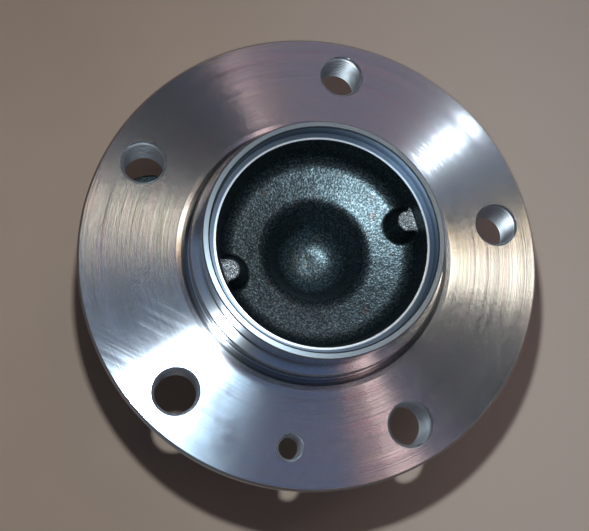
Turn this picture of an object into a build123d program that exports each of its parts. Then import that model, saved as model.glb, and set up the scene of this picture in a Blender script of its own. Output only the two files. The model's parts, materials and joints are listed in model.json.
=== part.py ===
from build123d import *
import os
from math import acos, cos, radians, sin, tan

os.makedirs("parts", exist_ok=True)

# Wheel hub bearing unit: a flanged hub that turns on two rows of balls in a flanged outer ring.
# Millimetres. The origin is the centre of the wheel bolt circle on the wheel mounting face.
# +Z is the bearing's axis, pointing outboard. +Y points at the first wheel bolt hole.
# Section outlines are drawn as (radius, z) in the XZ plane and turned about the axis.

# ---- Wheel flange ------------------------------------------------------------------------------
flange_diameter = 144.0
flange_thickness = 9.5
flange_face_chamfer = 0.7
flange_back_chamfer = 1.2
wheel_bolt_to_rim = 12.0  # from a hole's centre to the flange's rim
wheel_bolt_count = 5
wheel_bolt_diameter = 14.0  # M14 x 1.25, modelled at the thread's major diameter
wheel_bolt_lead_in = 0.15
wheel_bolt_angle = 90.0  # of the first hole, from +X
boss_diameter = 28.0
boss_height = 5.5
boss_corner_radius = 9.0  # in plan, where a boss arm meets the root
forging_fillet = 2.0
boss_edge_fillet = 1.2
root_inset = 1.5  # the flange root's radius is this much less than the outer ring's

disc_screw_diameter = 8.0  # M8 x 1.25, modelled at the thread's major diameter
disc_screw_lead_in = 0.1
disc_screw_to_rim = 12.0
disc_screw_angle = 270.0

# ---- Pilots ------------------------------------------------------------------------------------
wheel_pilot_diameter = 72.5
wheel_pilot_top = 18.3
wheel_pilot_land = 9.5
wheel_pilot_wall = 2.15
pilot_edge_chamfer = 0.4
pilot_bore_depth = 5.3
pilot_ledge_width = 2.1
disc_pilot_diameter = 79.0
disc_pilot_top = 6.0
relief_depth = 0.45  # radial depth of the grooves at the pilots' roots
wheel_pilot_relief_width = 0.85
wheel_pilot_relief_sink = 0.7
disc_pilot_relief_height = 0.6
disc_pilot_relief_width = 1.3
disc_pilot_relief_sink = 0.6
face_recess_depth = 0.35
face_recess_width = 2.35

# ---- Forged cup in the pilot -------------------------------------------------------------------
cup_floor_radius = 29.9
cup_floor_z = 1.1  # at the foot of the cup's wall
cup_floor_slope = 13.0  # degrees, falling towards the axis
cup_wall_fillet = 6.0
pocket_mouth_radius = 15.6
pocket_floor_radius = 9.3
pocket_floor_z = -19.0
pocket_mouth_fillet = 5.0
pocket_floor_fillet = 9.0
lug_circle_radius = 29.0
lug_angles = (25.3, 204.9)
lug_top_diameter = 6.4
lug_top_z = 8.0
lug_taper = 20.0  # degrees from upright
lug_top_fillet = 0.9
lug_foot_fillet = 1.5

# ---- Ball rows ---------------------------------------------------------------------------------
ball_diameter = 12.7
ball_count = 14
pitch_diameter = 68.0
contact_angle = 40.0
row_spacing = 26.0
groove_conformity = 0.52  # groove radius over ball diameter
groove_run_out = 12.0  # degrees that a groove runs past its lowest point
ball_clearance = 0.1  # between ball and groove along the contact line
shoulder_step = 2.4  # from the pitch circle to a groove's shoulder

pocket_clearance = 0.2  # between a ball and its pocket in the cage
cage_clearance = 0.5  # between the cage and the shoulders
cage_back = 2.0  # thickness of the cage's band behind the pockets
cage_claw = 2.3  # how far the claws reach past the balls' middles
cage_edge_chamfer = 0.3

# ---- Rings and spindle -------------------------------------------------------------------------
outer_ring_wall = 6.05  # behind the grooves
inner_ring_wall = 3.55
spindle_wall = 9.0
inner_ring_reach = 10.0  # from the inboard row to the inner ring's inboard face
inner_ring_lead_in = 1.0
inner_ring_seat_chamfer = 2.5
ring_edge_chamfer = 0.4
spindle_relief_depth = 0.3
spindle_relief_width = 1.8
collar_width = 5.0
collar_height = 3.3
collar_rim_height = 1.2
collar_taper = 2.4
bore_mouth_width = 3.6
bore_end_z = -30.5
bore_end_fillet = 6.0
bore_cone_rise = 1.6

# ---- Outer ring's outside ----------------------------------------------------------------------
knuckle_face_offset = 19.5  # from the outboard row to the face that seats on the knuckle
knuckle_flange_thickness = 12.0
knuckle_flange_rim = 3.6
knuckle_flange_fillet = 2.5
knuckle_bolt_to_ring = 9.5  # from the outer ring's side to the centre of a bolt
knuckle_bolt_count = 4
knuckle_bolt_diameter = 12.0  # M12 x 1.5, modelled at the thread's major diameter
knuckle_bolt_lead_in = 0.15
knuckle_ear_angle = 75.0
knuckle_ear_width = 26.0
knuckle_ear_fillet = 10.0
knuckle_ear_edge = 1.0
knuckle_flange_foot = 0.2  # of the turned profile that reaches past the fillet into the flange
spigot_step = 1.0
spigot_relief_depth = 0.5  # radial depth of the groove at the spigot's root
spigot_relief_width = 1.2
spigot_relief_sink = 0.4
spigot_relief_reach = 1.2
spigot_lead_in = 0.6
end_edge_chamfer = 0.8

# ---- Seal, encoder and end cap -----------------------------------------------------------------
seal_face_proud = 0.8  # the ring that the seal's side lips run on, on the flange's back
seal_face_inner = 3.2
seal_face_outer = 7.4
seal_root_fillet = 2.6
outer_ring_gap = 2.8  # axial, between that ring and the outer ring
seal_bore_depth = 4.8
bore_step = 0.46
seal_to_ball = 0.75
case_thickness = 0.8
case_setback = 0.6
case_flange_width = 6.0
case_bend = 0.96  # outside radius of the bend between the case's wall and its floor
case_inner_bend = 0.16
lip_clearance = 0.12
lip_thickness = 0.6
lip_lean = 1.3
side_lip_spacing = 2.1
lip_body_thickness = 1.2
lip_to_case = 0.16  # between the rubber's rim and the case's wall
encoder_sheet = 0.8
encoder_setback = 0.2
encoder_sleeve_length = 3.4
encoder_thickness = 1.0
encoder_rim = 0.4
encoder_inset = 1.6
encoder_bend = 0.32
encoder_to_cap = 1.0
cap_sheet = 0.8
cap_step_depth = 7.0  # from the inboard row to the step that the cap stops short of
cap_wall_gap = 0.7
cap_bulge_radius = 30.4
cap_bulge_lean = 1.2
cap_to_collar = 0.8
cap_recess = 0.8
cap_to_encoder_rim = 0.8
cap_corner_radius = 1.8
cap_side_offset = 0.48  # radius of the bulge's outside less that of its inside

# ---- Radii worked out from these ---------------------------------------------------------------
flange_radius = flange_diameter / 2
bolt_radius = flange_radius - wheel_bolt_to_rim
disc_screw_radius = flange_radius - disc_screw_to_rim
boss_rim_radius = flange_radius - flange_back_chamfer
wheel_pilot_radius = wheel_pilot_diameter / 2
disc_pilot_radius = disc_pilot_diameter / 2
pilot_bore_radius = wheel_pilot_radius - wheel_pilot_wall
cup_mouth_radius = pilot_bore_radius - pilot_ledge_width
face_recess_radius = disc_pilot_radius + disc_pilot_relief_width
ball_radius = ball_diameter / 2
pitch_radius = pitch_diameter / 2
groove_radius = groove_conformity * ball_diameter
groove_reach = ball_radius + ball_clearance
groove_shift = groove_radius - groove_reach
inner_shoulder_radius = pitch_radius - shoulder_step
outer_shoulder_radius = pitch_radius + shoulder_step
outer_ring_radius = pitch_radius + groove_reach + outer_ring_wall
spigot_radius = outer_ring_radius - spigot_step
knuckle_face_radius = spigot_radius + spigot_relief_reach
knuckle_flange_radius = outer_ring_radius + knuckle_flange_rim
root_radius = outer_ring_radius - root_inset
seat_radius = pitch_radius - groove_reach - inner_ring_wall
bore_radius = seat_radius - spindle_wall
collar_radius = seat_radius + collar_width

# ---- Heights worked out from these -------------------------------------------------------------
boss_back_z = -flange_thickness - boss_height
seal_face_z = boss_back_z - seal_face_proud
outer_ring_top_z = seal_face_z - outer_ring_gap
seal_step_z = outer_ring_top_z - seal_bore_depth
outboard_row_z = seal_step_z - seal_to_ball - ball_radius
inboard_row_z = outboard_row_z - row_spacing
inner_ring_top_z = (outboard_row_z + inboard_row_z) / 2
inner_ring_end_z = inboard_row_z - inner_ring_reach
collar_end_z = inner_ring_end_z - collar_height
knuckle_face_z = outboard_row_z - knuckle_face_offset
knuckle_flange_top_z = knuckle_face_z + knuckle_flange_thickness
cap_step_z = inboard_row_z - cap_step_depth
encoder_flange_z = inner_ring_end_z + encoder_setback
encoder_face_z = encoder_flange_z - encoder_thickness
cap_face_z = encoder_face_z - encoder_to_cap - cap_sheet
cap_bulge_z = collar_end_z - cap_to_collar - cap_sheet
outer_ring_end_z = cap_bulge_z - cap_recess

same = 0.01  # two places nearer than this are taken as one


def run(*corners, close=False):
    """Straight runs through (radius, z) corners; a third number rounds that corner."""
    points = [corner[:2] for corner in corners]
    turned = corners if close else corners[1:-1]
    rounds = [corner[2] if len(corner) > 2 else 0 for corner in turned]
    FilletPolyline(*points, radius=rounds, close=close)


def groove(row_z, side, outward):
    """A raceway's arc: its open end, its middle and its shoulder end, as (radius, z).

    side is 1 for the outboard row and -1 for the inboard row. outward is 1 for the outer
    ring's groove and -1 for the hub's and the inner ring's. The rows are back to back, so the
    outer shoulders face each other and the inner shoulders lie at the ends.
    """
    angle = radians(contact_angle)
    centre_radius = pitch_radius - outward * groove_shift * cos(angle)
    centre_z = row_z + outward * side * groove_shift * sin(angle)
    shoulder_radius = outer_shoulder_radius if outward > 0 else inner_shoulder_radius
    shoulder_angle = acos(abs(shoulder_radius - centre_radius) / groove_radius)
    open_angle = -radians(groove_run_out)

    def point(turn):
        radius = centre_radius + outward * groove_radius * cos(turn)
        return (radius, centre_z - outward * side * groove_radius * sin(turn))

    return point(open_angle), point((open_angle + shoulder_angle) / 2), point(shoulder_angle)


hub_groove = groove(outboard_row_z, 1, -1)
inner_groove = groove(inboard_row_z, -1, -1)
outboard_groove = groove(outboard_row_z, 1, 1)
inboard_groove = groove(inboard_row_z, -1, 1)
spindle_radius = hub_groove[0][0]
open_bore_radius = outboard_groove[0][0]
seal_bore_radius = open_bore_radius + bore_step


def polar(radius, angle):
    """The point at a radius and an angle in degrees from +X."""
    return (radius * cos(radians(angle)), radius * sin(radians(angle)))


def edges_at(part, z):
    """The edges whose middles lie at one height."""
    return part.edges().filter_by(lambda edge: abs(edge.center().Z - z) < same)


def round_edges(part, radius, z):
    """The circular edges of one radius that lie at one height."""
    circles = edges_at(part, z).filter_by(GeomType.CIRCLE)
    return circles.filter_by(lambda edge: abs(edge.radius - radius) < same)


def off_axis(point):
    """How far a point lies from the axis."""
    return Vector(point.X, point.Y).length


def reach(item):
    """How far an edge's first end lies from the axis."""
    return off_axis(item.vertices()[0])


# ---- Wheel hub ---------------------------------------------------------------------------------
pocket_mouth_z = cup_floor_z - (cup_floor_radius - pocket_mouth_radius) * tan(radians(cup_floor_slope))
ledge_z = wheel_pilot_top - pilot_bore_depth
land_foot_z = wheel_pilot_top - pilot_edge_chamfer - wheel_pilot_land

with BuildPart() as wheel_hub:
    with BuildSketch(Plane.XZ):
        with BuildLine():
            # Forged cup, from the pocket's floor up to the machined ledge
            run(
                (0, pocket_floor_z),
                (pocket_floor_radius, pocket_floor_z, pocket_floor_fillet),
                (pocket_mouth_radius, pocket_mouth_z, pocket_mouth_fillet),
                (cup_floor_radius, cup_floor_z, cup_wall_fillet),
                (cup_mouth_radius, ledge_z),
                (pilot_bore_radius, ledge_z),
                (pilot_bore_radius, wheel_pilot_top - pilot_edge_chamfer),
            )
            # Wheel pilot and the relief at its root
            run(
                (pilot_bore_radius, wheel_pilot_top - pilot_edge_chamfer),
                (pilot_bore_radius + pilot_edge_chamfer, wheel_pilot_top),
                (wheel_pilot_radius - pilot_edge_chamfer, wheel_pilot_top),
                (wheel_pilot_radius, wheel_pilot_top - pilot_edge_chamfer),
                (wheel_pilot_radius, land_foot_z),
                (wheel_pilot_radius - relief_depth, land_foot_z - relief_depth),
                (wheel_pilot_radius - relief_depth, disc_pilot_top - wheel_pilot_relief_sink),
                (wheel_pilot_radius + wheel_pilot_relief_width, disc_pilot_top - wheel_pilot_relief_sink),
                (wheel_pilot_radius + wheel_pilot_relief_width, disc_pilot_top),
            )
            # Disc pilot, the relief at its root and the recessed ring in the face
            run(
                (wheel_pilot_radius + wheel_pilot_relief_width, disc_pilot_top),
                (disc_pilot_radius - pilot_edge_chamfer, disc_pilot_top),
                (disc_pilot_radius, disc_pilot_top - pilot_edge_chamfer),
                (disc_pilot_radius, disc_pilot_relief_height + relief_depth),
                (disc_pilot_radius - relief_depth, disc_pilot_relief_height),
                (disc_pilot_radius - relief_depth, -disc_pilot_relief_sink),
                (face_recess_radius, -disc_pilot_relief_sink),
                (face_recess_radius, -face_recess_depth),
                (face_recess_radius + face_recess_width, 0),
            )
            # Flange face, rim and back, and the ring that the seal's side lips run on
            run(
                (face_recess_radius + face_recess_width, 0),
                (flange_radius - flange_face_chamfer, 0),
                (flange_radius, -flange_face_chamfer),
                (flange_radius, flange_back_chamfer - flange_thickness),
                (flange_radius - flange_back_chamfer, -flange_thickness),
                (root_radius, -flange_thickness),
                (root_radius, boss_back_z),
                (inner_shoulder_radius + seal_face_outer + seal_face_proud / 2, boss_back_z),
                (inner_shoulder_radius + seal_face_outer, seal_face_z),
                (inner_shoulder_radius, seal_face_z, seal_root_fillet),
                hub_groove[2],
            )
            ThreePointArc(hub_groove[2], hub_groove[1], hub_groove[0])
            # Spindle, the inner ring's seat and the collar formed over that ring
            run(
                hub_groove[0],
                (spindle_radius, inner_ring_top_z + ring_edge_chamfer),
                (spindle_radius - ring_edge_chamfer, inner_ring_top_z),
                (seat_radius - spindle_relief_depth, inner_ring_top_z),
                (seat_radius - spindle_relief_depth, inner_ring_top_z - spindle_relief_width),
                (seat_radius, inner_ring_top_z - spindle_relief_width - spindle_relief_depth),
                (seat_radius, inner_ring_end_z + inner_ring_seat_chamfer),
                (seat_radius + inner_ring_seat_chamfer, inner_ring_end_z),
                (collar_radius, inner_ring_end_z),
                (collar_radius, inner_ring_end_z - collar_rim_height, collar_rim_height / 2),
                (collar_radius - collar_taper, collar_end_z, collar_rim_height),
                (bore_radius + bore_mouth_width, collar_end_z, collar_rim_height / 2),
                (bore_radius, collar_end_z + bore_mouth_width, collar_rim_height / 2),
                (bore_radius, bore_end_z, bore_end_fillet),
                (0, bore_end_z + bore_cone_rise),
            )
            Line((0, bore_end_z + bore_cone_rise), (0, pocket_floor_z))
        make_face()
    revolve(axis=Axis.Z)

    # Boss arms on the flange's back, one behind each wheel bolt hole
    with BuildSketch(Plane.XY.offset(boss_back_z)) as bosses:
        Circle(root_radius)
        with PolarLocations(0, wheel_bolt_count, start_angle=wheel_bolt_angle):
            SlotCenterPoint((bolt_radius / 2, 0), (bolt_radius, 0), boss_diameter)
        arm_roots = bosses.vertices().filter_by(lambda v: Vector(*v).length < bolt_radius)
        fillet(arm_roots, boss_corner_radius)
        Circle(boss_rim_radius, mode=Mode.INTERSECT)
        Circle(root_radius - root_inset, mode=Mode.SUBTRACT)
    extrude(amount=boss_height)
    arm_feet = edges_at(wheel_hub, -flange_thickness)
    fillet(arm_feet.filter_by(lambda edge: edge.length < flange_radius * 2), forging_fillet)
    arm_ends = edges_at(wheel_hub, boss_back_z).filter_by(lambda edge: reach(edge) > root_radius + same)
    fillet(arm_ends, boss_edge_fillet)

    # Tapered lugs at the foot of the cup's wall
    lug_height = lug_top_z - pocket_mouth_z
    lug_foot_radius = lug_top_diameter / 2 + lug_height * tan(radians(lug_taper))
    lug_middle_z = lug_top_z - lug_height / 2
    with Locations(*[(*polar(lug_circle_radius, angle), lug_middle_z) for angle in lug_angles]):
        Cone(lug_foot_radius, lug_top_diameter / 2, lug_height)
    lug_tops = edges_at(wheel_hub, lug_top_z).filter_by(lambda edge: off_axis(edge.center()) < lug_circle_radius)
    fillet(lug_tops, lug_top_fillet)
    in_cup = wheel_hub.edges().filter_by(lambda edge: reach(edge) < cup_mouth_radius)
    on_lugs = in_cup.filter_by(lambda edge: pocket_mouth_z < edge.center().Z < lug_top_z - lug_top_fillet)
    fillet(on_lugs.filter_by(GeomType.BSPLINE), lug_foot_fillet)

    # Wheel bolt holes and the disc screw's hole
    with PolarLocations(bolt_radius, wheel_bolt_count, start_angle=wheel_bolt_angle):
        Hole(wheel_bolt_diameter / 2)
    chamfer(round_edges(wheel_hub, wheel_bolt_diameter / 2, 0), wheel_bolt_lead_in)
    with Locations(polar(disc_screw_radius, disc_screw_angle)):
        Hole(disc_screw_diameter / 2)
    chamfer(round_edges(wheel_hub, disc_screw_diameter / 2, 0), disc_screw_lead_in)
wheel_hub.part.label = "wheel_hub"
export_step(wheel_hub.part, "parts/wheel_hub.step")

# ---- Inner ring, seated on the spindle and held by its collar ----------------------------------
with BuildPart() as inner_ring:
    with BuildSketch(Plane.XZ):
        with BuildLine():
            ThreePointArc(inner_groove[0], inner_groove[1], inner_groove[2])
            run(
                inner_groove[2],
                (inner_shoulder_radius, inner_ring_end_z + ring_edge_chamfer),
                (inner_shoulder_radius - ring_edge_chamfer, inner_ring_end_z),
                (seat_radius + inner_ring_seat_chamfer, inner_ring_end_z),
                (seat_radius, inner_ring_end_z + inner_ring_seat_chamfer),
                (seat_radius, inner_ring_top_z - inner_ring_lead_in),
                (seat_radius + inner_ring_lead_in, inner_ring_top_z),
                (spindle_radius - ring_edge_chamfer, inner_ring_top_z),
                (spindle_radius, inner_ring_top_z - ring_edge_chamfer),
                inner_groove[0],
            )
        make_face()
    revolve(axis=Axis.Z)
inner_ring.part.label = "inner_ring"
export_step(inner_ring.part, "parts/inner_ring.step")

# ---- Outer ring: both outer grooves, the knuckle flange with its ears, and the spigot ----------
knuckle_bolt_radius = outer_ring_radius + knuckle_bolt_to_ring
flange_foot_radius = outer_ring_radius + knuckle_flange_fillet + knuckle_flange_foot

with BuildPart() as outer_ring:
    with BuildSketch(Plane.XZ):
        with BuildLine():
            ThreePointArc(outboard_groove[0], outboard_groove[1], outboard_groove[2])
            Line(outboard_groove[2], inboard_groove[2])
            ThreePointArc(inboard_groove[2], inboard_groove[1], inboard_groove[0])
            # End cap's bore, inboard end and spigot
            run(
                inboard_groove[0],
                (open_bore_radius, cap_step_z),
                (seal_bore_radius, cap_step_z),
                (seal_bore_radius, outer_ring_end_z + ring_edge_chamfer),
                (seal_bore_radius + ring_edge_chamfer, outer_ring_end_z),
                (spigot_radius - spigot_lead_in, outer_ring_end_z),
                (spigot_radius, outer_ring_end_z + spigot_lead_in),
                (spigot_radius, knuckle_face_z - spigot_relief_width - spigot_relief_depth),
                (spigot_radius - spigot_relief_depth, knuckle_face_z - spigot_relief_width),
                (spigot_radius - spigot_relief_depth, knuckle_face_z + spigot_relief_sink),
                (knuckle_face_radius, knuckle_face_z + spigot_relief_sink),
                (knuckle_face_radius, knuckle_face_z),
                (flange_foot_radius, knuckle_face_z),
            )
            # Foot of the knuckle flange, body, outboard end and the seal's bore
            run(
                (flange_foot_radius, knuckle_face_z),
                (flange_foot_radius, knuckle_flange_top_z),
                (outer_ring_radius, knuckle_flange_top_z, knuckle_flange_fillet),
                (outer_ring_radius, outer_ring_top_z - end_edge_chamfer),
                (outer_ring_radius - end_edge_chamfer, outer_ring_top_z),
                (seal_bore_radius + ring_edge_chamfer, outer_ring_top_z),
                (seal_bore_radius, outer_ring_top_z - ring_edge_chamfer),
                (seal_bore_radius, seal_step_z),
                (open_bore_radius, seal_step_z),
                outboard_groove[0],
            )
        make_face()
    revolve(axis=Axis.Z)

    # Ears, tapped for the knuckle bolts
    with BuildSketch(Plane.XY.offset(knuckle_face_z)) as ears:
        Circle(knuckle_flange_radius)
        with PolarLocations(0, knuckle_bolt_count, start_angle=knuckle_ear_angle):
            SlotCenterPoint((knuckle_bolt_radius / 2, 0), (knuckle_bolt_radius, 0), knuckle_ear_width)
        ear_roots = ears.vertices().filter_by(lambda v: Vector(*v).length < knuckle_bolt_radius)
        fillet(ear_roots, knuckle_ear_fillet)
        Circle(outer_ring_radius, mode=Mode.SUBTRACT)
    extrude(amount=knuckle_flange_thickness)
    top_edges = edges_at(outer_ring, knuckle_flange_top_z)
    fillet(top_edges.filter_by(lambda edge: reach(edge) > knuckle_flange_radius - same), knuckle_ear_edge)
    with PolarLocations(knuckle_bolt_radius, knuckle_bolt_count, start_angle=knuckle_ear_angle):
        Hole(knuckle_bolt_diameter / 2)
    for hole_end_z in (knuckle_face_z, knuckle_flange_top_z):
        chamfer(round_edges(outer_ring, knuckle_bolt_diameter / 2, hole_end_z), knuckle_bolt_lead_in)
outer_ring.part.label = "outer_ring"
export_step(outer_ring.part, "parts/outer_ring.step")


# ---- Balls and their cages ---------------------------------------------------------------------
pocket_radius = ball_radius + pocket_clearance
ball_pitch_angle = 360 / ball_count
rows = {"outboard": (outboard_row_z, 1), "inboard": (inboard_row_z, -1)}

for row_name, (row_z, side) in rows.items():
    for index in range(ball_count):
        with BuildPart() as ball:
            with Locations((*polar(pitch_radius, index * ball_pitch_angle), row_z)):
                Sphere(ball_radius)
        ball.part.label = f"ball_{row_name}_{index + 1:02d}"
        export_step(ball.part, f"parts/{ball.part.label}.step")

    # A snap-in cage: a solid band on the bearing's inner side, and claws past the balls' middles
    band_z = row_z - side * (pocket_radius + cage_back)
    claw_z = row_z + side * cage_claw
    with BuildPart() as cage:
        with BuildSketch(Plane.XZ):
            with BuildLine():
                Polyline(
                    (inner_shoulder_radius + cage_clearance, band_z),
                    (outer_shoulder_radius - cage_clearance, band_z),
                    (outer_shoulder_radius - cage_clearance, claw_z),
                    (inner_shoulder_radius + cage_clearance, claw_z),
                    close=True,
                )
            make_face()
        revolve(axis=Axis.Z)
        chamfer(cage.edges().filter_by(GeomType.CIRCLE), cage_edge_chamfer)
        with Locations((0, 0, row_z)):
            with PolarLocations(pitch_radius, ball_count):
                Sphere(pocket_radius, mode=Mode.SUBTRACT)
    cage.part.label = f"{row_name}_cage"
    export_step(cage.part, f"parts/{cage.part.label}.step")

# ---- Outboard seal: a pressed steel case and the rubber bonded to it ---------------------------
case_radius = seal_bore_radius
case_inner_radius = case_radius - case_thickness
case_flange_radius = case_radius - case_flange_width
case_floor_z = seal_step_z + case_thickness
case_top_z = outer_ring_top_z - case_setback

with BuildPart() as outboard_seal_case:
    with BuildSketch(Plane.XZ):
        with BuildLine():
            run(
                (case_inner_radius, case_top_z),
                (case_radius, case_top_z),
                (case_radius, seal_step_z, case_bend),
                (case_flange_radius, seal_step_z),
                (case_flange_radius, case_floor_z),
                (case_inner_radius, case_floor_z, case_inner_bend),
                close=True,
            )
        make_face()
    revolve(axis=Axis.Z)
outboard_seal_case.part.label = "outboard_seal_case"
export_step(outboard_seal_case.part, "parts/outboard_seal_case.step")

lip_tip_z = seal_face_z - lip_clearance
lip_body_z = case_floor_z + lip_body_thickness
lip_rim_radius = case_inner_radius - lip_to_case
radial_lip_radius = inner_shoulder_radius + lip_clearance
outer_lip_root = case_inner_radius - lip_thickness - 2 * lip_lean
inner_lip_root = outer_lip_root - side_lip_spacing

with BuildPart() as outboard_seal_lip:
    with BuildSketch(Plane.XZ):
        with BuildLine():
            run(
                (case_flange_radius, case_floor_z),
                (lip_rim_radius, case_floor_z),
                (lip_rim_radius, lip_body_z, lip_thickness / 2),
                (outer_lip_root + lip_thickness, lip_body_z, lip_thickness / 2),
                (outer_lip_root + lip_thickness + lip_lean, lip_tip_z),
                (outer_lip_root + lip_thickness / 2 + lip_lean, lip_tip_z),
                (outer_lip_root, lip_body_z, lip_thickness / 2),
                (inner_lip_root + lip_thickness, lip_body_z, lip_thickness / 2),
                (inner_lip_root + lip_thickness + lip_lean, lip_tip_z),
                (inner_lip_root + lip_thickness / 2 + lip_lean, lip_tip_z),
                (inner_lip_root, lip_body_z, lip_thickness / 2),
                (radial_lip_radius + lip_thickness, lip_body_z, lip_thickness / 2),
                (radial_lip_radius, case_floor_z),
                (radial_lip_radius + lip_thickness / 2, seal_step_z),
                (case_flange_radius, seal_step_z),
                close=True,
            )
        make_face()
    revolve(axis=Axis.Z)
outboard_seal_lip.part.label = "outboard_seal_lip"
export_step(outboard_seal_lip.part, "parts/outboard_seal_lip.step")

# ---- Wheel speed encoder: a pressed carrier on the inner ring and its magnetic ring ------------
cap_inner_radius = seal_bore_radius - cap_sheet
encoder_radius = cap_inner_radius - cap_to_encoder_rim
carrier_radius = encoder_radius - encoder_rim
carrier_flange_top_z = encoder_flange_z + encoder_sheet

with BuildPart() as encoder_carrier:
    with BuildSketch(Plane.XZ):
        with BuildLine():
            run(
                (inner_shoulder_radius, encoder_flange_z),
                (carrier_radius, encoder_flange_z),
                (carrier_radius, carrier_flange_top_z),
                (inner_shoulder_radius + encoder_sheet, carrier_flange_top_z, encoder_bend),
                (inner_shoulder_radius + encoder_sheet, encoder_flange_z + encoder_sleeve_length),
                (inner_shoulder_radius, encoder_flange_z + encoder_sleeve_length),
                close=True,
            )
        make_face()
    revolve(axis=Axis.Z)
encoder_carrier.part.label = "encoder_carrier"
export_step(encoder_carrier.part, "parts/encoder_carrier.step")

with BuildPart() as encoder_ring:
    with BuildSketch(Plane.XZ):
        with BuildLine():
            Polyline(
                (inner_shoulder_radius + encoder_inset, encoder_flange_z),
                (carrier_radius, encoder_flange_z),
                (carrier_radius, carrier_flange_top_z),
                (encoder_radius, carrier_flange_top_z),
                (encoder_radius, encoder_face_z),
                (inner_shoulder_radius + encoder_inset, encoder_face_z),
                close=True,
            )
        make_face()
    revolve(axis=Axis.Z)
encoder_ring.part.label = "encoder_ring"
export_step(encoder_ring.part, "parts/encoder_ring.step")

# ---- End cap, pressed into the outer ring's inboard end ----------------------------------------
cap_wall_top_z = cap_step_z - cap_wall_gap
cap_inner_corner = cap_corner_radius - cap_sheet
bulge_inner_radius = cap_bulge_radius - cap_side_offset

with BuildPart() as end_cap:
    with BuildSketch(Plane.XZ):
        with BuildLine():
            run(
                (cap_inner_radius, cap_wall_top_z),
                (seal_bore_radius, cap_wall_top_z),
                (seal_bore_radius, cap_face_z, cap_corner_radius),
                (cap_bulge_radius + cap_bulge_lean, cap_face_z, cap_inner_corner),
                (cap_bulge_radius, cap_bulge_z, cap_corner_radius),
                (0, cap_bulge_z),
            )
            Line((0, cap_bulge_z), (0, cap_bulge_z + cap_sheet))
            run(
                (0, cap_bulge_z + cap_sheet),
                (bulge_inner_radius, cap_bulge_z + cap_sheet, cap_inner_corner),
                (bulge_inner_radius + cap_bulge_lean, cap_face_z + cap_sheet, cap_corner_radius),
                (cap_inner_radius, cap_face_z + cap_sheet, cap_inner_corner),
                (cap_inner_radius, cap_wall_top_z),
            )
        make_face()
    revolve(axis=Axis.Z)
end_cap.part.label = "end_cap"
export_step(end_cap.part, "parts/end_cap.step")
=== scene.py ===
import json
import math

import bmesh
import bpy
import numpy as np
from mathutils import Matrix, Vector


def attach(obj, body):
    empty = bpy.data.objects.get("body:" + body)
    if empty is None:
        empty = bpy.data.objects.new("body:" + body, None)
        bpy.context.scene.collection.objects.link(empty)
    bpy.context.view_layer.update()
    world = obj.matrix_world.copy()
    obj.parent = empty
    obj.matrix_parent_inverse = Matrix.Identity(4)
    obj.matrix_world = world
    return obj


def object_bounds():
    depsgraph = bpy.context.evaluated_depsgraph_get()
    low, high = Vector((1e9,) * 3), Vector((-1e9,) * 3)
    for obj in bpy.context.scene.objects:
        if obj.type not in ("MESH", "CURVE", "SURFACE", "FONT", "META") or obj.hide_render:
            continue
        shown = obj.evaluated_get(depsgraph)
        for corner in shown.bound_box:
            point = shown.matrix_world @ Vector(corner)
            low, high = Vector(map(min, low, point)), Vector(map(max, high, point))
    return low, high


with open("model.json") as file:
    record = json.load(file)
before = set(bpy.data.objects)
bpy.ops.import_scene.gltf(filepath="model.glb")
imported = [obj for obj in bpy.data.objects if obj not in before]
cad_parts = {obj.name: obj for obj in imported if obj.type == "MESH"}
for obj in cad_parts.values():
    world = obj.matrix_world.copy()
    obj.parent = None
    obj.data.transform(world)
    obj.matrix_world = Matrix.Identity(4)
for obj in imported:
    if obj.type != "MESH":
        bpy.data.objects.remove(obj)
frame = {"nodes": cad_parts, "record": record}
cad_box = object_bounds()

# The look of a wheel hub bearing. Metres, in the part's own frame: the origin is the centre of the
# wheel face, +Z points outboard along the axis, and +Y at the first wheel bolt hole.
# Inside the materials, places on the part are read in millimetres.

MM = 0.001
image_width = 589
image_height = 531

# ---- Sizes of the surface zones, in millimetres --------------------------------------------------
flange_radius = 72.0
rim_edge = 0.75
face_recess_edge = 43.2
face_foot = 45.5
root_radius = 45.0
disc_pilot_radius = 39.5
disc_pilot_top = 6.0
pilot_top = 18.3
pilot_bore_radius = 34.1
ledge_z = 13.0
cup_mouth_radius = 32.05
pocket_floor_z = -19.0
lug_outer_radius = 31.0  # just inside the cup's wall at the height of the lugs' tops
lug_top_z = 8.0
lip_highlight_width = 0.6  # of the painted highlight along the ledge's edge over the cup
pilot_relief_width = 2.0  # of the painted shade in the groove at the disc pilot's foot
flange_back_z = -9.5
boss_back_z = -15.0
outer_ring_top_z = -18.6
knuckle_flange_top_z = -38.0
knuckle_face_z = -50.0
outer_ring_radius = 46.5

mounts = {mount["name"]: mount for mount in frame["record"]["mounts"]}
bolt_circle = mounts["wheel_bolts"]["dims"]["pcd_mm"] / 2
bolt_hole_radius = mounts["wheel_bolts"]["dims"]["hole_r_mm"]
bolt_count = mounts["wheel_bolts"]["dims"]["count"]
knuckle_circle = mounts["knuckle_bolts"]["dims"]["pcd_mm"] / 2
knuckle_hole_radius = mounts["knuckle_bolts"]["dims"]["hole_r_mm"]
knuckle_count = mounts["knuckle_bolts"]["dims"]["count"]
disc_screw_radius = mounts["disc_screw"]["dims"]["r_mm"]
knuckle_first_angle = 75.0

# ---- Camera --------------------------------------------------------------------------------------
camera_azimuth = 242.91  # of the camera about the point that it looks at
camera_elevation = 69.33
camera_distance = 314.24
camera_roll = 35.67
camera_target = (14.89, 20.33, 0.0)
focal_pixels = 981.06
optical_centre = (371.38, 197.41)
sensor_width = 36.0


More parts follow.
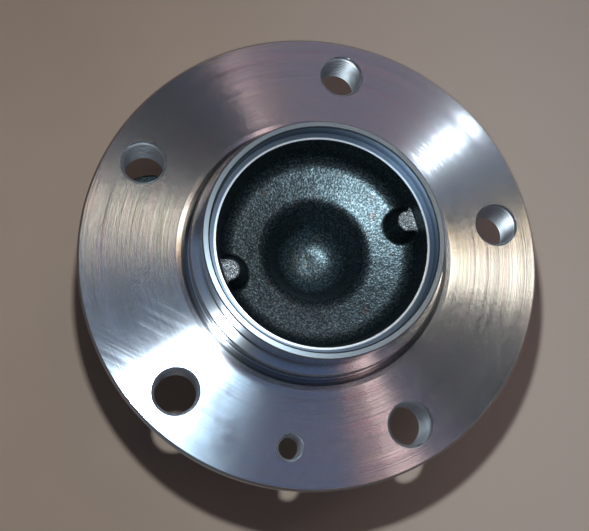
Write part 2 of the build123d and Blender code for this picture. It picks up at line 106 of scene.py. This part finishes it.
def camera_frame():
    """The camera's place in metres, and its right, up and back directions."""
    azimuth, elevation, roll = (math.radians(a) for a in (camera_azimuth, camera_elevation, camera_roll))
    back = Vector((
        math.cos(azimuth) * math.cos(elevation),
        math.sin(azimuth) * math.cos(elevation),
        math.sin(elevation),
    ))
    level = (-back).cross(Vector((0, 0, 1))).normalized()
    upright = level.cross(-back)
    right = math.cos(roll) * level + math.sin(roll) * upright
    up = math.cos(roll) * upright - math.sin(roll) * level
    place = (Vector(camera_target) + back * camera_distance) * MM
    return place, right, up, back


def make_camera():
    place, right, up, back = camera_frame()
    data = bpy.data.cameras.new("photo_camera")
    data.sensor_width = sensor_width
    data.lens = focal_pixels * sensor_width / image_width
    data.shift_x = (image_width / 2 - optical_centre[0]) / image_width
    data.shift_y = (optical_centre[1] - image_height / 2) / image_width
    data.clip_start = 0.01
    data.clip_end = 50
    camera = bpy.data.objects.new("photo_camera", data)
    turn = Matrix((right, up, back)).transposed()
    camera.matrix_world = Matrix.Translation(place) @ turn.to_4x4()
    bpy.context.scene.collection.objects.link(camera)
    bpy.context.scene.camera = camera


def polar(radius, degrees):
    return (radius * math.cos(math.radians(degrees)), radius * math.sin(math.radians(degrees)))


# ---- Node helpers --------------------------------------------------------------------------------
class Nodes:
    """A node tree, built with short calls. Numbers, colours and sockets may be mixed."""

    def __init__(self, tree):
        self.tree = tree

    def add(self, kind, **settings):
        node = self.tree.nodes.new(kind)
        for key, value in settings.items():
            setattr(node, key, value)
        return node

    def put(self, socket, value):
        if isinstance(value, bpy.types.NodeSocket):
            self.tree.links.new(value, socket)
        elif hasattr(value, "__len__") and len(value) == 3 and len(socket.default_value) == 4:
            socket.default_value = (*value, 1)
        else:
            socket.default_value = value

    def math(self, operation, a, b=0.0, c=0.0, clamp=False):
        node = self.add("ShaderNodeMath", operation=operation, use_clamp=clamp)
        for socket, value in zip(node.inputs, (a, b, c)):
            self.put(socket, value)
        return node.outputs[0]

    def vector(self, operation, a, b=(0, 0, 0), scale=1.0):
        node = self.add("ShaderNodeVectorMath", operation=operation)
        self.put(node.inputs[0], a)
        if operation == "SCALE":
            self.put(node.inputs["Scale"], scale)
        else:
            self.put(node.inputs[1], b)
        return node.outputs["Value" if operation in ("LENGTH", "DOT_PRODUCT") else "Vector"]

    def split(self, vector):
        node = self.add("ShaderNodeSeparateXYZ")
        self.put(node.inputs[0], vector)
        return node.outputs

    def join(self, x=0.0, y=0.0, z=0.0):
        node = self.add("ShaderNodeCombineXYZ")
        for socket, value in zip(node.inputs, (x, y, z)):
            self.put(socket, value)
        return node.outputs[0]

    def ramp(self, value, low, high, out_low=0.0, out_high=1.0):
        node = self.add("ShaderNodeMapRange", interpolation_type="SMOOTHSTEP")
        for socket, number in zip(node.inputs, (value, low, high, out_low, out_high)):
            self.put(socket, number)
        return node.outputs[0]

    def band(self, value, low, high, soft):
        """1 between low and high, and 0 outside, over a soft edge."""
        rise = self.ramp(value, low - soft / 2, low + soft / 2)
        fall = self.ramp(value, high - soft / 2, high + soft / 2, 1, 0)
        return self.math("MULTIPLY", rise, fall)

    def mix(self, share, a, b):
        node = self.add("ShaderNodeMix", data_type="RGBA")
        for socket, value in zip((node.inputs[0], node.inputs[6], node.inputs[7]), (share, a, b)):
            self.put(socket, value)
        return node.outputs[2]

    def blend(self, share, a, b):
        """Between two numbers."""
        node = self.add("ShaderNodeMix", data_type="FLOAT")
        for socket, value in zip((node.inputs[0], node.inputs[2], node.inputs[3]), (share, a, b)):
            self.put(socket, value)
        return node.outputs[0]

    def mix_vector(self, share, a, b):
        node = self.add("ShaderNodeMix", data_type="VECTOR")
        for socket, value in zip((node.inputs[0], node.inputs[4], node.inputs[5]), (share, a, b)):
            self.put(socket, value)
        return node.outputs[1]

    def noise(self, vector, scale, detail=2.0, roughness=0.5, distortion=0.0, dimensions="3D"):
        node = self.add("ShaderNodeTexNoise", noise_dimensions=dimensions)
        node.inputs["Scale"].default_value = scale
        node.inputs["Detail"].default_value = detail
        node.inputs["Roughness"].default_value = roughness
        node.inputs["Distortion"].default_value = distortion
        self.put(node.inputs["W" if dimensions == "1D" else "Vector"], vector)
        return node.outputs[0]

    def all(self, *masks):
        result = masks[0]
        for mask in masks[1:]:
            result = self.math("MULTIPLY", result, mask)
        return result

    def any(self, *masks):
        result = masks[0]
        for mask in masks[1:]:
            result = self.math("MAXIMUM", result, mask)
        return result

    def bump(self, height, distance, strength=1.0, normal=None):
        """distance is the height's real size in millimetres."""
        node = self.add("ShaderNodeBump")
        node.inputs["Strength"].default_value = strength
        node.inputs["Distance"].default_value = distance * MM
        self.put(node.inputs["Height"], height)
        if normal is not None:
            self.put(node.inputs["Normal"], normal)
        return node.outputs[0]


class Shader(Nodes):
    """A material. Its places, radius and height are in millimetres, and its angle in degrees."""

    def __init__(self, name):
        self.material = bpy.data.materials.new(name)
        self.material.use_nodes = True
        super().__init__(self.material.node_tree)
        self.principled = self.tree.nodes["Principled BSDF"]
        place = self.add("ShaderNodeTexCoord").outputs["Object"]
        self.place = self.vector("SCALE", place, scale=1 / MM)
        self.x, self.y, self.z = self.split(self.place)
        across = self.vector("MULTIPLY", self.place, (1, 1, 0))
        self.radius = self.vector("LENGTH", across)
        self.angle = self.math("DEGREES", self.math("ARCTAN2", self.y, self.x))

    def set(self, **sockets):
        for name, value in sockets.items():
            self.put(self.principled.inputs[name.replace("_", " ")], value)
        return self.material


# ---- Steel finishes ------------------------------------------------------------------------------
lathe_lines_per_mm = 16.0
face_tilt = 1.35  # how far the lathe lines lean the normal on the wheel face
pilot_tilt = 0.30
skin_roughness_height = 0.115  # millimetres


def lathe_tilt(shader, amount):
    """The normal, tilted across the lathe lines by a share that changes from line to line."""
    line_place = shader.math("ADD", shader.radius, shader.z)
    line = shader.noise(line_place, lathe_lines_per_mm, detail=1.0, dimensions="1D")
    lean = shader.math("MULTIPLY", shader.math("SUBTRACT", line, 0.5), amount)
    tangent = shader.add("ShaderNodeTangent", direction_type="RADIAL", axis="Z").outputs[0]
    normal = shader.add("ShaderNodeNewGeometry").outputs["Normal"]
    across = shader.vector("CROSS_PRODUCT", tangent, normal)
    leaned = shader.vector("ADD", normal, shader.vector("SCALE", across, scale=lean))
    return shader.vector("NORMALIZE", leaned), tangent


def forged_height(shader):
    """Shot-blasted forging skin: fine grain over shallow waves."""
    grain = shader.noise(shader.place, 1.5, detail=2.5, roughness=0.6)
    waves = shader.noise(shader.place, 0.16, detail=2.0)
    return shader.math("ADD", grain, shader.math("MULTIPLY", waves, 1.5))


def forged_colour(shader):
    """Dark skin, with a bright facet here and there where a shot struck."""
    tint = shader.noise(shader.place, 0.22, detail=3.0)
    facet = shader.ramp(shader.noise(shader.place, 1.5, detail=2.5, roughness=0.65), 0.40, 0.78)
    cool = shader.mix(facet, (0.040, 0.056, 0.062), (0.21, 0.27, 0.29))
    warm = shader.mix(facet, (0.048, 0.040, 0.034), (0.22, 0.18, 0.15))
    return shader.mix(shader.ramp(tint, 0.58, 0.80), cool, warm)


def wipe_marks(shader, direction, first_angle, last_angle):
    """Greasy wipes along one direction in degrees, between two azimuths of the face."""
    c, s = polar(1, direction)
    along = shader.vector("DOT_PRODUCT", shader.place, (c, s, 0))
    across = shader.vector("DOT_PRODUCT", shader.place, (-s, c, 0))
    stretched = shader.join(shader.math("MULTIPLY", along, 0.030), shader.math("MULTIPLY", across, 0.70))
    streaks = shader.noise(stretched, 1.0, detail=4.0, roughness=0.55, distortion=0.4)
    patches = shader.noise(shader.place, 0.045, detail=3.0)
    zone = shader.band(shader.angle, first_angle, last_angle, 24)
    return shader.all(shader.ramp(streaks, 0.30, 0.80, 0, 0.6), shader.ramp(patches, 0.30, 0.66), zone)


def hub_steel():
    shader = Shader("hub_steel")
    radius, z = shader.radius, shader.z
    cup = shader.all(
        shader.ramp(radius, cup_mouth_radius - 0.1, cup_mouth_radius, 1, 0),
        shader.band(z, pocket_floor_z - 1, ledge_z - 0.05, 0.05),
    )
    lug_tops = shader.all(
        shader.ramp(radius, lug_outer_radius - 0.3, lug_outer_radius, 1, 0),
        shader.band(z, lug_top_z - 0.7, lug_top_z + 0.3, 0.3),
    )
    back = shader.all(
        shader.band(radius, root_radius + 0.3, flange_radius - rim_edge - 0.6, 0.4),
        shader.band(z, boss_back_z - 0.3, -1.6, 0.3),
    )
    forged = shader.any(cup, back)
    pilot_rim = shader.ramp(z, pilot_top - 0.25, pilot_top - 0.1)
    face = shader.ramp(radius, face_recess_edge, face_foot)
    inside_bore = shader.ramp(radius, pilot_bore_radius + 0.3, pilot_bore_radius + 0.6, 1, 0)
    ledge = shader.all(inside_bore, shader.ramp(radius, cup_mouth_radius - 0.1, cup_mouth_radius + 0.1))
    lip_edge = cup_mouth_radius + lip_highlight_width
    lip_highlight = shader.all(ledge, shader.ramp(radius, lip_edge - 0.15, lip_edge + 0.15, 1, 0))

    # Turned steel: its colour changes a little from line to line, and in soft oil films
    line_place = shader.math("ADD", radius, z)
    streak = shader.noise(line_place, 3.2, detail=3.0, roughness=0.6, dimensions="1D")
    around = shader.math("MULTIPLY", shader.angle, 0.022)
    film_place = shader.join(shader.math("MULTIPLY", radius, 0.22), around)
    film = shader.noise(film_place, 1.0, detail=3.0, distortion=0.5)
    steel = shader.mix(streak, (0.52, 0.545, 0.59), (0.60, 0.625, 0.67))
    steel = shader.mix(shader.ramp(film, 0.52, 0.70, 0, 0.45), steel, (0.64, 0.54, 0.60))
    steel = shader.mix(shader.ramp(film, 0.32, 0.48, 0.30, 0), steel, (0.56, 0.60, 0.55))
    mottle = shader.noise(shader.place, 0.07, detail=4.0, roughness=0.6)
    haze = shader.all(shader.band(shader.angle, -134, -100, 22), shader.ramp(mottle, 0.20, 0.55, 0.5, 1))
    marks = shader.any(wipe_marks(shader, -20, -164, -128), wipe_marks(shader, 100, -50, -24))
    wipes_and_sheen = shader.all(shader.any(haze, marks), face)
    # The wipes and haze are tinted blue: partly greasy wipes, partly a painted blue reflection.
    steel = shader.mix(shader.math("MULTIPLY", wipes_and_sheen, 0.7), steel, (0.42, 0.57, 0.70))
    normal, tangent = lathe_tilt(shader, shader.blend(face, pilot_tilt, face_tilt))
    skin_normal = shader.bump(forged_height(shader), skin_roughness_height)
    torn = shader.noise(shader.place, 1.3, detail=2.0, distortion=1.5)
    torn_normal = shader.bump(torn, 0.5)

    rough = shader.blend(wipes_and_sheen, 0.165, 0.26)
    rough = shader.blend(shader.any(pilot_rim, ledge), rough, 0.36)
    rough = shader.blend(forged, rough, 0.37)
    rough = shader.blend(lug_tops, rough, 0.42)
    stretch = shader.blend(wipes_and_sheen, 1.0, 0.85)
    stretch = shader.blend(shader.any(pilot_rim, ledge, forged), stretch, 0.3)
    # Painted shade: the groove at the disc pilot's foot is coloured near black, as the shade in it.
    groove_painted_shade = shader.all(
        shader.band(radius, disc_pilot_radius + 0.2, disc_pilot_radius + 0.2 + pilot_relief_width, 0.3),
        shader.band(z, -1.5, disc_pilot_top - 4.0, 0.6),
    )
    steel = shader.mix(shader.math("MULTIPLY", groove_painted_shade, 0.75), steel, (0.035, 0.040, 0.048))
    # Painted dark reflection: the ledge and the wall of the pilot bore are coloured dark blue-grey.
    steel = shader.mix(ledge, steel, (0.10, 0.13, 0.17))
    # Painted highlight: a bright line along the ledge's edge over the cup.
    steel = shader.mix(lip_highlight, steel, (0.66, 0.74, 0.80))
    steel = shader.mix(pilot_rim, steel, (0.24, 0.28, 0.31))
    colour = shader.mix(forged, steel, forged_colour(shader))
    # The lugs' tops are lighter: partly torn, trimmed metal, partly a painted highlight.
    colour = shader.mix(lug_tops, colour, shader.mix(torn, (0.10, 0.12, 0.13), (0.60, 0.62, 0.64)))
    return shader.set(
        Base_Color=colour,
        Metallic=1.0,
        Roughness=rough,
        Anisotropic=stretch,
        Anisotropic_Rotation=0.25,
        Tangent=tangent,
        Normal=shader.mix_vector(lug_tops, shader.mix_vector(forged, normal, skin_normal), torn_normal),
    )


def ring_steel():
    shader = Shader("ring_steel")
    radius, z = shader.radius, shader.z
    body = shader.all(
        shader.ramp(radius, outer_ring_radius - 0.3, outer_ring_radius - 0.1),
        shader.band(z, knuckle_face_z + 0.25, outer_ring_top_z - 0.6, 0.2),
    )
    normal, tangent = lathe_tilt(shader, 0.25)
    skin_normal = shader.bump(forged_height(shader), 0.08)
    return shader.set(
        Base_Color=shader.mix(body, (0.55, 0.54, 0.55), forged_colour(shader)),
        Metallic=1.0,
        Roughness=shader.blend(body, 0.30, 0.55),
        Anisotropic=0.8,
        Anisotropic_Rotation=0.25,
        Tangent=tangent,
        Normal=shader.mix_vector(body, normal, skin_normal),
    )


def bearing_steel():
    shader = Shader("bearing_steel")
    haze = shader.noise(shader.place, 0.6, detail=3.0)
    return shader.set(
        Base_Color=shader.mix(haze, (0.66, 0.67, 0.69), (0.76, 0.76, 0.77)),
        Metallic=1.0,
        Roughness=shader.ramp(haze, 0.3, 0.7, 0.08, 0.18),
    )


def sheet_steel():
    shader = Shader("sheet_steel")
    haze = shader.noise(shader.place, 0.12, detail=4.0, roughness=0.6)
    grain = shader.noise(shader.place, 4.0, detail=2.0)
    return shader.set(
        Base_Color=shader.mix(haze, (0.52, 0.52, 0.51), (0.68, 0.68, 0.67)),
        Metallic=1.0,
        Roughness=shader.ramp(haze, 0.3, 0.7, 0.30, 0.42),
        Normal=shader.bump(grain, 0.012),
    )


def rubber(name, low, high):
    shader = Shader(name)
    grain = shader.noise(shader.place, 2.5, detail=3.0)
    return shader.set(
        Base_Color=shader.mix(grain, low, high),
        Roughness=shader.ramp(grain, 0.3, 0.7, 0.50, 0.68),
        Normal=shader.bump(grain, 0.02),
    )


def cage_polyamide():
    shader = Shader("cage_polyamide")
    fibre = shader.noise(shader.place, 1.6, detail=4.0, roughness=0.7)
    return shader.set(
        Base_Color=shader.mix(fibre, (0.60, 0.50, 0.31), (0.74, 0.65, 0.45)),
        Roughness=0.45,
        Normal=shader.bump(fibre, 0.02),
    )


def thread_steel():
    shader = Shader("thread_steel")
    haze = shader.noise(shader.place, 0.25, detail=2.0)
    return shader.set(
        Base_Color=shader.mix(haze, (0.58, 0.62, 0.66), (0.70, 0.73, 0.76)),
        Metallic=1.0,
        Roughness=shader.ramp(haze, 0.3, 0.7, 0.30, 0.38),
    )


# ---- Threads -------------------------------------------------------------------------------------
thread_depth = 0.5413  # of an ISO thread, times its pitch
thread_segments = 72
thread_wall_gap = 0.06  # between a hole's wall in the solid and its thread
wheel_bolt_pitch = 1.25
disc_screw_pitch = 1.25
knuckle_bolt_pitch = 1.5


def thread(name, body, centre, top, bottom, major_radius, pitch, material):
    """The whole wall of a tapped hole, as one helical surface with a countersink at each end."""
    crest = major_radius - thread_depth * pitch
    profile = [(-1 / 16, major_radius), (1 / 16, major_radius), (6 / 16, crest), (10 / 16, crest)]
    turns = math.ceil((top - bottom) / pitch) + 2
    mesh = bmesh.new()
    rows = []
    for turn in range(-1, turns):
        for offset, profile_radius in profile:
            row = []
            for step in range(thread_segments + 1):
                share = step / thread_segments
                z = bottom + (turn + offset + share) * pitch
                z = min(max(z, bottom), top)
                depth = min(top - z, z - bottom)
                r = max(profile_radius, major_radius - depth)
                angle = 2 * math.pi * share
                row.append(mesh.verts.new((
                    (centre[0] + r * math.cos(angle)) * MM,
                    (centre[1] + r * math.sin(angle)) * MM,
                    z * MM,
                )))
            rows.append(row)
    for low, high in zip(rows, rows[1:]):
        for step in range(thread_segments):
            mesh.faces.new((low[step + 1], low[step], high[step], high[step + 1]))
    bmesh.ops.remove_doubles(mesh, verts=mesh.verts, dist=1e-7)
    bmesh.ops.dissolve_degenerate(mesh, edges=mesh.edges, dist=1e-7)
    data = bpy.data.meshes.new(name)
    mesh.to_mesh(data)
    mesh.free()
    data.materials.append(material)
    piece = bpy.data.objects.new(name, data)
    bpy.context.scene.collection.objects.link(piece)
    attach(piece, body)
    return piece


def make_threads():
    steel = thread_steel()
    for index in range(bolt_count):
        centre = polar(bolt_circle, 90 + 360 / bolt_count * index)
        thread(f"wheel_bolt_thread_{index + 1}", "hub", centre,
               -0.15, boss_back_z + 0.05, bolt_hole_radius - thread_wall_gap, wheel_bolt_pitch, steel)
    thread("disc_screw_thread", "hub", polar(bolt_circle, 270),
           -0.1, flange_back_z + 0.05, disc_screw_radius - thread_wall_gap, disc_screw_pitch, steel)
    for index in range(knuckle_count):
        centre = polar(knuckle_circle, knuckle_first_angle + 360 / knuckle_count * index)
        thread(f"knuckle_bolt_thread_{index + 1}", "outer_ring", centre,
               knuckle_flange_top_z - 0.15, knuckle_face_z + 0.15,
               knuckle_hole_radius - thread_wall_gap, knuckle_bolt_pitch, steel)


# ---- Materials of the CAD pieces -----------------------------------------------------------------
def dress_nodes():
    ball = bearing_steel()
    by_node = {
        "wheel_hub": hub_steel(),
        "outer_ring": ring_steel(),
        "inner_ring": ball,
        "outboard_cage": cage_polyamide(),
        "outboard_seal_case": sheet_steel(),
        "outboard_seal_lip": rubber("seal_rubber", (0.018, 0.018, 0.020), (0.040, 0.040, 0.042)),
        "encoder_ring": rubber("encoder_rubber", (0.030, 0.027, 0.024), (0.060, 0.055, 0.050)),
    }
    by_node["inboard_cage"] = by_node["outboard_cage"]
    by_node["encoder_carrier"] = by_node["end_cap"] = by_node["outboard_seal_case"]
    for name, node in frame["nodes"].items():
        material = by_node.get(name, ball)
        if not node.material_slots:
            node.data.materials.append(material)
        for slot in node.material_slots:
            slot.material = material


# ---- Floor, lights and world ---------------------------------------------------------------------
floor_z = cad_box[0][2]
floor_reach = 6.0  # metres
painted_light_fade = (-110, 130)  # millimetres to the camera's right, over which painted light takes the paper from darker to lighter
flash_place = (-44, -17, 275)
flash_side = 9
plain_level = math.pi  # irradiance at which a colour renders as it is written


def make_floor():
    data = bpy.data.meshes.new("floor")
    reach = floor_reach
    corners = [(-reach, -reach), (reach, -reach), (reach, reach), (-reach, reach)]
    data.from_pydata([(x, y, floor_z) for x, y in corners], [], [(0, 1, 2, 3)])
    floor = bpy.data.objects.new("floor", data)
    bpy.context.scene.collection.objects.link(floor)
    shader = Shader("floor_paper")
    fibre = shader.noise(shader.place, 0.02, detail=4.0)
    # Painted light: the paper is coloured darker to the left and lighter to the right, as if lit from
    # the right.
    across = shader.vector("DOT_PRODUCT", shader.place, camera_frame()[1])
    paper = shader.mix(shader.ramp(across, *painted_light_fade), (0.42, 0.30, 0.225), (0.70, 0.56, 0.47))
    shader.set(
        Base_Color=shader.mix(shader.math("MULTIPLY", fibre, 0.12), paper, (0.80, 0.70, 0.60)),
        Roughness=0.9,
        Specular_IOR_Level=0.2,
    )
    data.materials.append(shader.material)


def lamp(name, place, width, height, share, colour):
    """A soft panel at a place in millimetres, facing the wheel face.

    share is the part of the plain level that it adds on a surface that faces it.
    """
    data = bpy.data.lights.new(name, "AREA")
    data.shape = "RECTANGLE"
    data.size = width * MM
    data.size_y = height * MM
    data.color = colour
    place = Vector(place) * MM
    data.energy = share * plain_level * math.pi * place.length_squared
    panel = bpy.data.objects.new(name, data)
    panel.matrix_world = Matrix.Translation(place) @ place.to_track_quat("Z", "Y").to_matrix().to_4x4()
    panel.visible_camera = False
    bpy.context.scene.collection.objects.link(panel)


def make_lights():
    lamp("flash", flash_place, flash_side, flash_side, 0.80, (0.82, 0.93, 1.0))


# Bright parts of the room, each given by the stretch of the flange's face that mirrors it: its first and
# last azimuth, how far it starts and ends outward of the mirrored ring, and its radiance
room = {
    "blue_corner": (184, 221, -0.05, 0.25, (0.26, 0.36, 0.50)),
    "left_wall": (158, 173, -0.05, 0.25, (0.15, 0.17, 0.20)),
    "night_blue": (246, 287, -0.10, 0.30, (0.12, 0.18, 0.32)),
    "ceiling": (53, 124, -0.10, 0.45, (0.34, 0.27, 0.30)),
    "right_wall": (28, 50, -0.10, 0.30, (0.15, 0.17, 0.22)),
    "violet_edge": (303, 316, -0.05, 0.25, (0.18, 0.18, 0.28)),
    "pink_curtain": (288, 297, -0.05, 0.25, (0.70, 0.44, 0.46)),
    "yellow_curtain": (296, 304, -0.05, 0.25, (2.7, 1.9, 1.75)),
    "cream_window": (8, 18, -0.16, 0.06, (4.1, 3.0, 1.8)),
    "white_window": (355, 9, -0.16, 0.06, (8.4, 7.5, 5.9)),
}
edge_softness = 0.002


def mirrored(azimuth):
    """The direction that the middle of the face at an azimuth mirrors into the camera."""
    middle = Vector((*polar((face_foot + flange_radius) / 2, azimuth), 0)) * MM
    sight = (camera_frame()[0] - middle).normalized()
    return Vector((-sight.x, -sight.y, sight.z))


def make_world():
    world = bpy.data.worlds.new("room")
    world.use_nodes = True
    bpy.context.scene.world = world
    nodes = Nodes(world.node_tree)
    direction = nodes.add("ShaderNodeTexCoord").outputs["Generated"]
    height = nodes.split(direction)[2]
    above = nodes.ramp(height, 0.3, 0.4)
    colour = nodes.mix(nodes.ramp(height, 0.0, 0.45), (0.11, 0.105, 0.10), (0.060, 0.064, 0.078))

    def past(azimuth, turn, offset=0.0, softness=edge_softness, low=0.0, high=1.0):
        """From low to high across the line through a mirrored direction, at a turn from its azimuth."""
        normal = Vector((*polar(1, azimuth + turn), 0))
        start = mirrored(azimuth).dot(normal) + offset
        reach = nodes.vector("DOT_PRODUCT", direction, normal)
        return nodes.ramp(reach, start - softness, start + softness, low, high)

    for first, last, near, far, radiance in room.values():
        middle = first + (last - first) % 360 / 2
        mask = nodes.all(
            above,
            past(first, 90),
            past(last, 90, low=1.0, high=0.0),
            past(middle, 0, offset=near, softness=0.04),
            past(middle, 0, offset=far, softness=0.04, low=1.0, high=0.0),
        )
        colour = nodes.mix(mask, colour, radiance)
    nodes.put(nodes.tree.nodes["Background"].inputs["Color"], colour)


bpy.context.scene.view_settings.view_transform = "Standard"
make_camera()
make_floor()
make_lights()
make_world()
dress_nodes()
make_threads()
